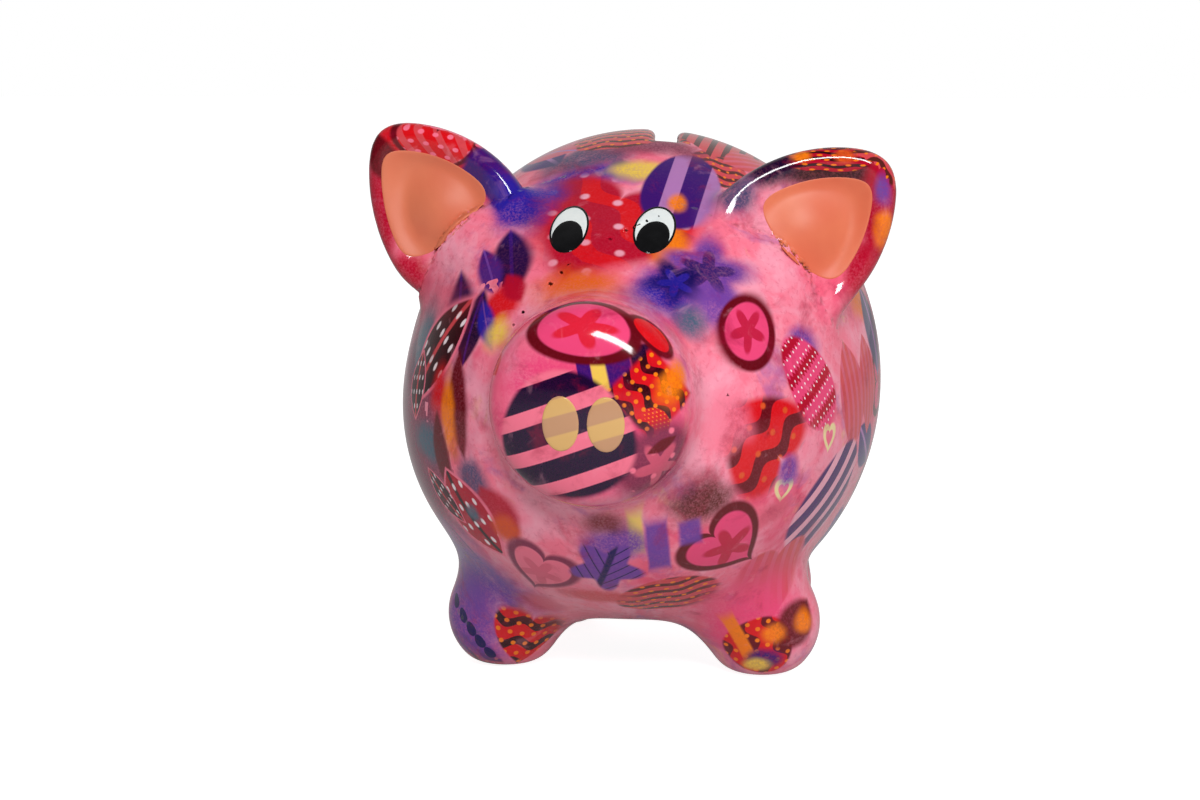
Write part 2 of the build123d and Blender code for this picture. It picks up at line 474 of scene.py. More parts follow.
def ordered_loops(edges):
    """Directed boundary edges as closed loops of point numbers."""
    following = {}
    for a, b in edges:
        following.setdefault(int(a), []).append(int(b))
    loops = []
    while following:
        start = next(iter(following))
        loop, here = [], start
        while here in following:
            loop.append(here)
            there = following[here].pop()
            if not following[here]:
                del following[here]
            here = there
        loops.append(loop)
    return loops


def open_edges(quads):
    """The edges that only one quad has, in the direction that quad runs along them."""
    edges = np.concatenate([quads[:, [i, (i + 1) % 4]] for i in range(4)])
    known = {(int(a), int(b)) for a, b in edges}
    return [(a, b) for a, b in known if (b, a) not in known]


def cap_loop(loop, points):
    """A hidden cap that follows the body's own surface, closed over a seam."""
    rim = points[loop]
    middle = rim.mean(axis=0)
    rings = [rim + (middle - rim) * k / (CAP_RINGS + 1) for k in range(1, CAP_RINGS + 1)]
    extra = np.concatenate(rings + [middle[None]])
    extra = settle(lambda p: body_distance(p) + CAP_DEPTH, extra, turns=8, reach=4.0)
    size = len(loop)
    first = len(points)
    numbers = [np.array(loop)] + [first + size * k + np.arange(size) for k in range(CAP_RINGS)]
    last = first + size * CAP_RINGS
    faces = []
    for outer, inner in zip(numbers[:-1], numbers[1:]):
        for i in range(size):
            j = (i + 1) % size
            faces.append((outer[i], outer[j], inner[j], inner[i]))
    for i in range(size):
        faces.append((numbers[-1][i], numbers[-1][(i + 1) % size], last))
    return extra, faces


def build_skin():
    """The whole pig as one smooth surface, shared out between its members."""
    low = np.array(cad_low) / MM - MESH_MARGIN
    high = np.array(cad_high) / MM + MESH_MARGIN
    value = grid_values(pig_distance, low, high, MESH_STEP)
    points, quads = surface_net(value, low, MESH_STEP)
    points = settle(pig_distance, points)
    points = relax(pig_distance, points, quads)
    points = settle(pig_distance, points)
    normals = unit(gradient(pig_distance, points))
    middles = points[quads].mean(axis=1)
    rows = np.array(piece_distances(middles))
    region = rows.argmin(axis=0)
    region = np.where(rows[0] < -0.8 * WALL, 0, region)
    region = clean_regions(quads, region)
    return points, normals, quads, region


def piece_mesh(name, points, normals, quads):
    """One closed mesh from some of the skin's quads, with its seams capped."""
    used, local = np.unique(quads, return_inverse=True)
    local = local.reshape(quads.shape)
    spots, aims = points[used], normals[used]
    faces = [tuple(face) for face in local]
    for loop in ordered_loops(open_edges(local)):
        extra, cap = cap_loop(loop[::-1], spots)
        faces += cap
        spots = np.concatenate([spots, extra])
        aims = np.concatenate([aims, unit(gradient(body_distance, extra))])
    mesh = bpy.data.meshes.new(name)
    mesh.from_pydata((spots * MM).tolist(), [], [tuple(int(i) for i in f) for f in faces])
    mesh.polygons.foreach_set("use_smooth", np.ones(len(faces), dtype=bool))
    mesh.normals_split_custom_set_from_vertices(aims.tolist())
    piece = bpy.data.objects.new(name, mesh)
    bpy.context.scene.collection.objects.link(piece)
    return piece


# ---- the printed pattern: where each motif lies --------------------------------------------

LAYERS = 6                      # how many motifs may lie over each other at one spot
HAZE_SPREAD = 0.25              # how far a blurred motif runs past its outline, as a share of its size
VIEWS = {                       # side looked from: towards the viewer, right, up
    "front": ((0, -1, 0), (1, 0, 0), (0, 0, 1)),
    "back": ((0, 1, 0), (-1, 0, 0), (0, 0, 1)),
    "left": ((1, 0, 0), (0, 1, 0), (0, 0, 1)),
    "right": ((-1, 0, 0), (0, -1, 0), (0, 0, 1)),
    "top": ((0, 0, 1), (1, 0, 0), (0, 1, 0)),
    "under": ((0, 0, -1), (1, 0, 0), (0, -1, 0)),
}
SHAPES = ("egg", "heart", "leaf", "flower", "bar")
PATTERNS = ("plain", "stripes", "waves", "zigzag", "blossom", "veins")

PALETTE = {                     # display colours, 0 to 255
    "pink": (248, 130, 155),
    "pale_pink": (244, 178, 196),
    "hot_pink": (240, 84, 134),
    "rose": (226, 104, 130),
    "coral": (222, 84, 92),
    "red": (224, 22, 34),
    "crimson": (192, 10, 54),
    "dark_red": (116, 6, 28),
    "maroon": (66, 4, 20),
    "brown": (104, 44, 40),
    "orange": (250, 140, 24),
    "amber": (226, 96, 40),
    "yellow": (244, 208, 96),
    "cream": (240, 222, 170),
    "plum": (142, 52, 88),
    "grape": (84, 28, 112),
    "lilac": (186, 132, 190),
    "violet": (126, 76, 168),
    "purple": (72, 22, 124),
    "aubergine": (40, 0, 58),
    "blue": (50, 40, 166),
    "navy": (30, 16, 96),
    "teal": (84, 116, 134),
    "slate": (92, 84, 122),
    "white": (252, 238, 242),
}
COLOUR_NAMES = list(PALETTE)

# what each kind of motif looks like; colours are: fill, pattern, dots, outline, and the last one given
# stands for those left out
KINDS = {
    "aubergine_egg": dict(shape="egg", pattern="stripes", count=1.75,
                          colours="aubergine pink pink aubergine"),
    "zigzag_egg": dict(shape="egg", pattern="zigzag", count=2.0, colours="hot_pink crimson white crimson",
                       dots=5.0, dot_size=0.13),
    "wavy_heart": dict(shape="heart", pattern="waves", count=2.2, colours="red maroon orange red",
                       dots=3.0, dot_size=0.2),
    "wavy_egg": dict(shape="egg", pattern="waves", count=2.6, colours="coral brown orange coral",
                     dots=3.4, dot_size=0.17),
    "blossom_heart": dict(shape="heart", pattern="blossom", count=1.0, line=0.2,
                          colours="hot_pink crimson white dark_red"),
    "rose_heart": dict(shape="heart", pattern="blossom", count=1.0, line=0.22, soft=0.1,
                       colours="pink rose white plum"),
    "purple_egg": dict(shape="egg", pattern="stripes", count=1.1, colours="purple lilac lilac purple"),
    "striped_purple": dict(shape="egg", pattern="stripes", count=2.0, colours="grape pale_pink pink grape"),
    "purple_leaf": dict(shape="leaf", pattern="veins", count=0.1,
                        colours="purple lilac white violet", soft=0.1),
    "dotted_leaf": dict(shape="leaf", pattern="veins", count=0.1, colours="maroon coral white pink",
                        dots=2.5, dot_size=0.18, line=0.12),
    "coral_leaf": dict(shape="leaf", pattern="stripes", count=2.5,
                       colours="coral rose pink coral", angle=90),
    "coral_heart": dict(shape="heart", pattern="stripes", count=3.0,
                        colours="coral rose pink coral", angle=90),
    "red_leaf": dict(shape="leaf", pattern="plain", colours="red red red dark_red", soft=0.25),
    "blue_flower": dict(shape="flower", pattern="blossom", colours="violet navy blue violet", soft=0.28),
    "violet_leaves": dict(shape="flower", pattern="veins", count=2.5,
                          colours="violet navy navy blue", soft=0.12),
    "purple_bar": dict(shape="bar", pattern="plain", colours="purple violet violet purple", soft=0.12),
    "yellow_bar": dict(shape="bar", pattern="plain", colours="yellow cream cream cream", soft=0.25),
    "yellow_ring": dict(shape="heart", pattern="plain", colours="cream cream cream cream", line=0.42,
                        fill=0.0, soft=0.1),
    "splash": dict(shape="egg", pattern="plain", colours="orange amber yellow orange", soft=0.5),
    "bead": dict(shape="egg", pattern="plain", colours="navy navy navy navy", soft=0.08),
}
KIND_DEFAULTS = dict(count=1.0, angle=0.0, line=0.0, soft=0.05, dots=0.0, dot_size=0.0, fill=1.0)


DROP_TURNS = 70
DROP_SHARE = 0.85               # of the distance left, so that no step passes through the skin
LOOK_DISTANCE = 150.0


def drop_onto_skin(starts, toward):
    """Where straight looks against the direction toward first meet the pig."""
    spots = starts.copy()
    for _ in range(DROP_TURNS):
        spots = spots - DROP_SHARE * outside_distance(spots)[:, None] * toward
    return spots


def find_spots(motifs):
    """Finds where each motif's middle lies on the skin, and gives it as the motif's spot."""
    starts, toward = [], []
    for motif in motifs:
        look, right, up = (np.array(axis, dtype=float) for axis in VIEWS[motif["view"]])
        if "look" in motif:
            look = motif["look"]
            starts.append(SCATTER_MIDDLE + 130.0 * look)
        else:
            across, height = motif["at"]
            start = LOOK_DISTANCE * look + across * right + height * up
            if motif["view"] in ("top", "under"):
                start[Z] += SNOUT[Z]
            starts.append(start)
        toward.append(look)
    toward = np.array(toward)
    spots = drop_onto_skin(np.array(starts), toward)
    normals = unit(gradient(outside_distance, spots, 1.5))
    for motif, spot, normal in zip(motifs, spots, normals):
        motif["spot"], motif["normal"] = spot, normal


FACE_ROWS = ("design", "inks", "edge", "texture")


def lay_motif(motif, points, normals, quads, print_rows):
    """Writes one motif onto the quads that it covers."""
    kind = {**KIND_DEFAULTS, **KINDS[motif["kind"]], **motif}
    _, right, up = (np.array(axis, dtype=float) for axis in VIEWS[motif["view"]])
    centre, face_normal = motif["spot"], motif["normal"]
    if "look" in motif:
        right = np.cross(up, face_normal)
    right = unit((right - (right @ face_normal) * face_normal)[None])[0]
    up = np.cross(face_normal, right)
    turn = math.radians(kind.get("turn", 0.0))
    along = math.cos(turn) * right + math.sin(turn) * up
    above = math.cos(turn) * up - math.sin(turn) * right
    offset = points - centre
    depth = offset @ face_normal
    flat = offset - depth[:, None] * face_normal
    stretch = length(offset) / np.maximum(length(flat), 1e-6)
    width, height = motif["size"]
    u = (flat @ along) * stretch / (width / 2)
    v = (flat @ above) * stretch / (height / 2)
    margin = 1.05 + kind["soft"] + HAZE_SPREAD
    near = (np.abs(u) < margin) & (np.abs(v) < margin)
    near &= (np.abs(depth) < 0.35 * max(width, height)) & (normals @ face_normal > 0.05)
    covered = near[quads].any(axis=1) & (np.abs(depth[quads]) < 0.6 * max(width, height)).all(axis=1)
    faces = np.nonzero(covered)[0]
    full = print_rows["count"][faces] >= LAYERS
    for name in ("place", *FACE_ROWS):
        rows = print_rows[name]
        rows[:-1, faces[full]] = rows[1:, faces[full]]
    print_rows["count"][faces[full]] -= 1
    layer = print_rows["count"][faces]
    print_rows["count"][faces] += 1
    corner = quads[faces]
    shape = np.full(corner.shape, float(SHAPES.index(kind["shape"])))
    print_rows["place"][layer, faces] = np.stack([u[corner], v[corner], shape], axis=-1)
    colours = kind["colours"].split()
    colours += colours[-1:] * (4 - len(colours))
    inks = [(COLOUR_NAMES.index(name) + 0.5) / len(COLOUR_NAMES) for name in colours]
    print_rows["design"][layer, faces] = (
        PATTERNS.index(kind["pattern"]), kind["count"], math.radians(kind["angle"]))
    print_rows["inks"][layer, faces] = inks[:3]
    print_rows["edge"][layer, faces] = (inks[3], kind["line"], kind["soft"])
    print_rows["texture"][layer, faces] = (kind["dots"], kind["dot_size"], kind["fill"])


def blank_rows(face_count):
    rows = {name: np.zeros((LAYERS, face_count, 3)) for name in FACE_ROWS}
    rows["place"] = np.full((LAYERS, face_count, 4, 3), 9.0)
    rows["count"] = np.zeros(face_count, dtype=int)
    return rows


SCATTER_COUNT = 110
FACE_LIMIT = -0.28              # looks further ahead than this meet the face, which has its own motifs
SCATTER_MIDDLE = np.array([0.0, 8.0, SNOUT[Z] - 3.0])


def scattered_motifs():
    """Motifs spread evenly round the body, under those placed one by one."""
    kinds = ("wavy_heart", "aubergine_egg", "dotted_leaf", "blossom_heart", "purple_leaf", "coral_heart",
             "zigzag_egg", "blue_flower", "coral_leaf", "wavy_egg", "splash", "striped_purple",
             "rose_heart", "violet_leaves", "yellow_ring", "purple_bar")
    motifs = []
    for i in range(SCATTER_COUNT):
        height = 1.0 - 2.0 * (i + 0.5) / SCATTER_COUNT
        turn = i * math.pi * (3.0 - math.sqrt(5.0))
        flat = math.sqrt(1.0 - height * height)
        look = np.array([flat * math.cos(turn), flat * math.sin(turn), height])
        if look[Y] < FACE_LIMIT:
            continue
        size = 21.0 + 9.0 * ((i * 7) % 5) / 4
        kind = kinds[(i * 5) % len(kinds)]
        if kind in ("splash", "yellow_ring"):
            size *= 0.55
        wide = 0.55 if "leaf" in kind or "bar" in kind else 0.85 if "egg" in kind else 1.0
        size = (size * wide, size)
        motifs.append(dict(kind=kind, view="front", look=look, size=size, turn=(i * 67) % 360))
    return motifs


def motifs_seen(view):
    """Gives the function that places one motif as seen from one side."""
    def place(kind, across, height, wide, high, turn=0, **changes):
        return dict(kind=kind, view=view, at=(across, height), size=(wide, high), turn=turn, **changes)
    return place


in_front, behind, on_left, on_right, on_top = map(motifs_seen, ("front", "back", "left", "right", "top"))


def placed_motifs():
    """The motifs of the face, the flanks and the legs, from the lowest layer to the top one."""
    face = [
        # brow
        in_front("splash", -9, 144, 34, 10, colours="blue navy"),
        in_front("splash", 6, 145, 22, 9, colours="yellow amber"),
        in_front("zigzag_egg", -5, 129, 50, 46, -20, shape="heart", pattern="waves", count=1.6,
            colours="crimson red pale_pink crimson", dots=2.4, dot_size=0.13, soft=0.12, angle=35),
        in_front("splash", -6, 116, 26, 12, colours="amber orange"),
        in_front("splash", 16, 126, 9, 20),
        in_front("purple_egg", 17, 140, 22, 36, -5, angle=90, count=1.0),
        in_front("splash", 16, 136.5, 5, 8),
        in_front("splash", 17, 114, 20, 19, colours="blue", soft=0.4),
        in_front("blue_flower", 27, 119, 26, 26, 20),
        in_front("blue_flower", 19, 116.5, 17, 17, 50, colours="navy blue violet navy"),
        in_front("splash", 31, 110, 15, 13, colours="violet lilac"),
        in_front("splash", 24, 107, 9, 10, colours="teal slate"),
        in_front("purple_leaf", -27, 121, 13, 25, 10, colours="aubergine purple violet purple"),
        in_front("purple_leaf", -33, 118, 8, 18, 22, colours="purple violet lilac purple"),
        in_front("splash", -23, 138, 16, 12, 30, colours="blue violet"),
        # cheeks
        in_front("red_leaf", -28, 110, 12, 15, -12),
        in_front("red_leaf", -25, 114.5, 7, 12, 30, colours="crimson crimson crimson crimson"),
        in_front("purple_leaf", -41.5, 106, 12, 29, 4, colours="aubergine purple lilac purple"),
        in_front("purple_leaf", -36.5, 104, 10, 23, -14, colours="aubergine purple violet purple"),
        in_front("purple_leaf", -32, 105, 6, 17, 18, soft=0.25, colours="blue violet violet violet"),
        in_front("splash", -28, 103, 8, 9, colours="yellow"),
        in_front("blossom_heart", 38.5, 104, 18, 24, -10, shape="egg", line=0.24),
        # snout
        in_front("splash", 0, 86, 50, 50, colours="hot_pink rose"),
        in_front("yellow_bar", 4, 97, 4.4, 13, 12),
        in_front("purple_bar", 0.6, 95, 3.6, 12, 12),
        in_front("purple_bar", 9, 98, 6.5, 10, 14),
        in_front("purple_bar", 16, 99.5, 8, 9, 14, colours="aubergine aubergine purple aubergine"),
        in_front("wavy_heart", 17.5, 91, 17, 17, -45, count=1.4, shape="bar", soft=0.1),
        in_front("splash", 23, 94, 7, 13, -30),
        in_front("wavy_heart", 19, 84.5, 8, 5, -40, shape="egg", pattern="plain"),
        in_front("rose_heart", 19, 72, 22, 24, -30, colours="plum rose pink plum", shape="egg", dots=1.8,
            dot_size=0.13, line=0.1, soft=0.25),
        in_front("red_leaf", 20, 77.5, 3, 9, -65, colours="dark_red red red red"),
        in_front("red_leaf", -24.5, 97, 6, 8, 0),
        in_front("blossom_heart", -0.5, 108, 31, 20, -6, shape="egg", count=1.0, line=0.2,
            colours="hot_pink red white dark_red"),
        in_front("wavy_heart", 17, 106, 16, 9, -25, shape="egg", pattern="plain",
            colours="red red red dark_red", line=0.25, soft=0.1),
        in_front("aubergine_egg", -5, 79.5, 36, 35, 12, angle=-9, count=1.75),
        in_front("splash", -7, 60.5, 14, 5, colours="yellow cream"),
    ]
    right_flank = [
        on_right("splash", 42, 78, 46, 62, colours="plum rose"),
        on_right("splash", 37, 97, 18, 18, colours="teal slate"),
        on_right("dotted_leaf", 47, 97, 20, 38, -12),
        on_right("dotted_leaf", 42, 86, 12, 20, 12),
        in_front("splash", -46, 86, 8, 14, colours="red amber"),
        in_front("red_leaf", -39.5, 83, 8, 30, 6, colours="dark_red maroon maroon dark_red"),
        in_front("splash", -42.5, 80, 6, 22, 8),
        on_right("splash", 49, 71, 18, 11, colours="teal slate"),
        in_front("red_leaf", -45, 68, 7, 26, 16, colours="dark_red maroon maroon dark_red"),
        in_front("splash", -35, 63, 11, 13, colours="slate plum"),
        in_front("red_leaf", -28, 54, 14, 18, 40, colours="crimson coral coral coral", soft=0.3),
        in_front("dotted_leaf", -37, 52, 19, 30, 42, colours="crimson maroon white pink"),
        in_front("splash", -36, 53, 5, 5, colours="teal"),
        in_front("splash", -26, 50, 9, 9, colours="amber orange"),
        on_right("splash", 40, 60, 16, 24, colours="plum maroon"),
        on_right("dotted_leaf", 36, 43, 12, 26, 30, fill=0.3, line=0.2, colours="plum plum pink plum"),
        on_right("dotted_leaf", 50, 56, 9, 20, 20),
    ]
    left_flank = [
        on_left("splash", -40, 99, 12, 10, colours="violet slate"),
        on_left("zigzag_egg", -41, 89, 19, 29, 24, angle=0),
        on_left("coral_leaf", -19, 82, 19, 33, 6),
        on_left("coral_leaf", -5, 84, 16, 29, 0),
        on_left("purple_leaf", 8, 98, 16, 27, 0, colours="slate lilac white slate"),
        in_front("wavy_heart", 42, 76.5, 29, 28, -130, count=1.4, angle=7, soft=0.12, dots=2.0,
            dot_size=0.12, colours="red dark_red amber crimson"),
        in_front("splash", 34, 81, 15, 15, colours="pink pale_pink"),
        on_left("yellow_ring", -35, 72.5, 7, 8, 0),
        in_front("yellow_ring", 48, 60, 7, 7, -20),
        on_left("striped_purple", -25, 54, 27, 38, -32, angle=90, count=1.75),
        in_front("splash", 49.5, 66, 7, 8, colours="violet"),
        in_front("splash", 46, 54, 12, 7, colours="rose"),
        in_front("splash", 27.5, 60, 17, 14, colours="brown slate"),
        in_front("coral_heart", 43.5, 31, 26, 25, -10),
        in_front("blossom_heart", 34, 45, 26, 25, 32),
    ]
    belly = [
        in_front("purple_bar", 24.5, 50.5, 6, 8, colours="violet lilac violet purple", soft=0.3),
        in_front("yellow_bar", 10.5, 51, 4, 14),
        in_front("splash", 5, 48, 17, 11, colours="violet slate"),
        in_front("purple_bar", 16, 46.5, 6, 18, colours="violet purple violet purple", soft=0.2),
        in_front("splash", 2, 54, 11, 7, colours="brown rose"),
        in_front("rose_heart", -18, 36.5, 22, 23, -18),
        in_front("wavy_egg", 16.5, 29.5, 29, 20, 0),
        in_front("splash", -2, 29, 20, 8, colours="coral rose"),
        in_front("violet_leaves", 1.5, 39.5, 21, 22, -20),
    ]
    legs = [
        in_front("splash", -40, 32, 38, 28, colours="violet blue"),
        in_front("splash", -45, 18, 22, 34, colours="violet"),
        in_front("wavy_heart", -27.5, 10.5, 21, 24, -20, count=1.4),
        in_front("splash", -20, 24, 12, 12, colours="rose crimson"),
        in_front("splash", 36, 22, 30, 32, colours="hot_pink rose"),
        in_front("wavy_heart", 40, 11, 20, 20, -30, shape="egg", count=1.2, angle=40,
            colours="red dark_red orange red"),
        in_front("yellow_bar", 34, 14.5, 4, 16, 22, colours="orange amber yellow orange"),
        in_front("red_leaf", 50, 17, 13, 18, -40, colours="dark_red red red dark_red"),
        in_front("splash", 52, 18, 7, 7),
        in_front("splash", 41, 7, 9, 7, colours="purple violet"),
        in_front("splash", 44, 15, 7, 6, colours="orange yellow"),
        in_front("splash", 39, 5, 7, 5, colours="yellow amber"),
    ]
    for i in range(5):
        legs.append(in_front("bead", -49 + 2.6 * i, 20 - 3.6 * i, 3.2, 4.6, 25))
    ears = [
        in_front("splash", -52, 150, 44, 22, -14, colours="red crimson", soft=0.3),
        in_front("splash", -71, 130, 14, 40, colours="crimson red", soft=0.3),
        in_front("wavy_heart", -54, 150.5, 27, 17, -8, pattern="stripes", count=2.5, angle=60,
            colours="red coral pink dark_red", line=0.15),
        in_front("red_leaf", -69, 148, 9, 16, 20, colours="dark_red crimson crimson crimson"),
        in_front("splash", -71, 126, 7, 20, colours="amber orange"),
        in_front("splash", -62, 115, 14, 12, colours="crimson plum"),
        in_front("purple_bar", -36, 143, 19, 12, -38, colours="purple purple blue aubergine"),
        in_front("splash", -29, 136, 15, 22, 30, colours="blue navy"),
        in_front("splash", 57, 149, 40, 18, -4, colours="maroon aubergine", soft=0.3),
        in_front("splash", 73, 134, 14, 36, colours="crimson dark_red", soft=0.3),
        in_front("wavy_heart", 57, 149, 24, 8, 0, shape="egg", colours="crimson maroon orange crimson"),
        in_front("splash", 42, 146, 14, 9, 20, colours="aubergine purple"),
        in_front("splash", 50, 149.5, 5, 4),
        in_front("splash", 62, 149.5, 5, 4, colours="amber"),
        in_front("splash", 72.5, 140, 5, 8, colours="violet lilac"),
        in_front("splash", 73, 129, 6, 10, colours="orange amber"),
        in_front("splash", 67, 118, 9, 16, colours="crimson plum"),
        in_front("splash", 33, 139, 11, 11, colours="slate violet"),
        behind("blossom_heart", -58, 138, 26, 26, 40),
        behind("wavy_egg", -72, 148, 20, 16, 30),
        behind("violet_leaves", 56, 146, 24, 26, 20),
        behind("coral_heart", 68, 130, 20, 22, -30),
    ]
    crown = [
        on_top("splash", -13, -9, 24, 14, colours="slate violet"),
        on_top("splash", 6, -4, 30, 12, colours="plum slate"),
        on_top("wavy_egg", -6, 4, 26, 22, 0, colours="coral brown orange brown"),
        on_top("coral_heart", 23, 8, 26, 26, 0, colours="coral brown pink brown"),
        on_top("purple_leaf", -26, 6, 12, 26, 50, colours="rose lilac white rose"),
        on_top("coral_leaf", 34, 6, 14, 26, -40),
    ]
    return face + right_flank + left_flank + belly + legs + ears + crown


def print_motifs(points, normals, quads):
    rows = blank_rows(len(quads))
    motifs = scattered_motifs() + placed_motifs()
    find_spots(motifs)
    for motif in motifs:
        lay_motif(motif, points, normals, quads, rows)
    return rows


HAZE_REACHES = (13.0, 6.0, 6.0, 9.0, 9.0, 9.0, 9.0, 4.0)    # round the snout, ears, legs and tail


def seam_haze(points):
    """How blurred the print is: 1 where a member meets the body, and 0 away from that seam."""
    body, *members = piece_distances(points)
    haze = np.zeros(len(points))
    for member, reach in zip(members, HAZE_REACHES):
        haze = np.maximum(haze, 1.0 - smooth_step(np.maximum(body, member) / reach))
    return haze


def write_haze(mesh):
    points = np.empty(3 * len(mesh.vertices))
    mesh.vertices.foreach_get("co", points)
    store = mesh.attributes.new("haze", "FLOAT", "POINT")
    store.data.foreach_set("value", seam_haze(points.reshape(-1, 3) / MM))


def write_print(mesh, rows, faces):
    """Stores the motifs of one piece's quads in its mesh; hidden caps stay blank."""
    for layer in range(LAYERS):
        place = np.full((len(mesh.loops), 3), 9.0)
        place[: 4 * len(faces)] = rows["place"][layer, faces].reshape(-1, 3)
        store = mesh.attributes.new(f"place_{layer}", "FLOAT_VECTOR", "CORNER")
        store.data.foreach_set("vector", place.ravel())
        for name in FACE_ROWS:
            values = np.zeros((len(mesh.polygons), 3))
            values[: len(faces)] = rows[name][layer, faces]
            store = mesh.attributes.new(f"{name}_{layer}", "FLOAT_VECTOR", "FACE")
            store.data.foreach_set("vector", values.ravel())


# ---- node trees written as arithmetic -------------------------------------------------------

class Wire:
    """A number inside a node tree, for ordinary arithmetic."""

    def __init__(self, tree, socket):
        self.tree, self.socket = tree, socket

    def math(self, operation, *others):
        node = self.tree.nodes.new("ShaderNodeMath")
        node.operation = operation
        for slot, value in zip(node.inputs, (self, *others)):
            if isinstance(value, Wire):
                self.tree.links.new(value.socket, slot)
            else:
                slot.default_value = value
        return Wire(self.tree, node.outputs[0])

    def __add__(self, other):
        return self.math("ADD", other)

    def __sub__(self, other):
        return self.math("SUBTRACT", other)

    def __mul__(self, other):
        return self.math("MULTIPLY", other)

    def __truediv__(self, other):
        return self.math("DIVIDE", other)

    def root(self):
        return self.math("SQRT")

    def size(self):
        return self.math("ABSOLUTE")

    def fraction(self):
        return self.math("FRACT")

    def sine(self):
        return self.math("SINE")

    def cosine(self):
        return self.math("COSINE")

    def larger(self, other):
        return self.math("MAXIMUM", other)

    def equals(self, number):
        return self.math("COMPARE", float(number), 0.5)

    def step(self, start, end):
        """0 before start and 1 past end, smoothly; start may be the larger of the two."""
        node = self.tree.nodes.new("ShaderNodeMapRange")
        node.interpolation_type = "SMOOTHSTEP"
        for slot, value in (("Value", self), ("From Min", start), ("From Max", end)):
            if isinstance(value, Wire):
                self.tree.links.new(value.socket, node.inputs[slot])
            else:
                node.inputs[slot].default_value = value
        return Wire(self.tree, node.outputs["Result"])


def mix_colours(tree, share, under, over):
    node = tree.nodes.new("ShaderNodeMix")
    node.data_type = "RGBA"
    for slot, value in ((0, share), (6, under), (7, over)):
        if isinstance(value, Wire):
            value = value.socket
        if isinstance(value, bpy.types.NodeSocket):
            tree.links.new(value, node.inputs[slot])
        else:
            node.inputs[slot].default_value = value
    return node.outputs[2]


def linear(colour):
    """A display colour, 0 to 255, as the linear colour that a shader takes."""
    parts = []
    for part in colour:
        part = part / 255
        parts.append(part / 12.92 if part <= 0.04045 else ((part + 0.055) / 1.055) ** 2.4)
    return (*parts, 1.0)


def split_vector(tree, socket):
    node = tree.nodes.new("ShaderNodeSeparateXYZ")
    tree.links.new(socket, node.inputs[0])
    return [Wire(tree, out) for out in node.outputs]


def palette_colour(tree, number):
    node = tree.nodes.new("ShaderNodeValToRGB")
    ramp = node.color_ramp
    ramp.interpolation = "CONSTANT"
    for i, name in enumerate(COLOUR_NAMES):
        stop = ramp.elements[0] if i == 0 else ramp.elements.new(i / len(COLOUR_NAMES))
        stop.position = i / len(COLOUR_NAMES)
        stop.color = linear(PALETTE[name])
    tree.links.new(number.socket, node.inputs[0])
    return node.outputs[0]


def shape_reach(u, v, shape):
    """0 in the middle of the chosen shape and 1 at its edge."""
    radius = (u * u + v * v).root()
    turn = v.math("ARCTAN2", u)
    taper = u * (v * 0.16 + 1.0)
    lobe = v * 1.15 - u.size().root() * 0.75 + 0.2
    reaches = (
        (taper * taper + v * v).root(),
        (u * u + lobe * lobe).root(),
        u.size() + v * v,
        radius / ((turn * 5.0).cosine() * 0.2 + 0.8),
        u.size().larger(v.size()),
    )
    total = reaches[0] * shape.equals(0)
    for number, reach in enumerate(reaches[1:], start=1):
        total = total + reach * shape.equals(number)
    return total


def pattern_share(u, v, pattern, count, angle):
    """How much of the pattern's colour shows in the fill."""
    across = u * angle.cosine() - v * angle.sine()
    along = u * angle.sine() + v * angle.cosine()
    wave = (across * 7.0).sine() * 0.16
    tooth = ((across * 7.0).fraction() - 0.5).size() * 0.35
    wave = wave * pattern.equals(PATTERNS.index("waves"))
    shift = wave + tooth * pattern.equals(PATTERNS.index("zigzag"))
    place = (along * count + shift + 0.25).fraction()
    band = (place - 0.5).size().step(0.28, 0.31)
    banded = pattern.equals(1) + pattern.equals(2) + pattern.equals(3)
    turn = v.math("ARCTAN2", u)
    radius = (u * u + v * v).root()
    petal = (radius / ((turn * 5.0).cosine() * 0.18 + 0.42)).step(1.12, 0.88)
    vein = ((v - u.size() * 1.3) * 2.4).fraction().step(0.22, 0.08)
    rib = u.size().step(0.12, 0.05).larger(vein * count.step(1.0, 2.0))
    share = band * banded + petal * pattern.equals(PATTERNS.index("blossom")) * 0.8
    return share + rib * pattern.equals(PATTERNS.index("veins"))


def dot_share(u, v, dots, dot_size):
    row = v * dots
    shift = row.math("FLOOR") * 0.5
    across = (u * dots + shift).fraction() - 0.5
    above = row.fraction() - 0.5
    radius = (across * across + above * above).root()
    return radius.step(dot_size + 0.05, dot_size - 0.05) * dots.step(0.4, 0.6)


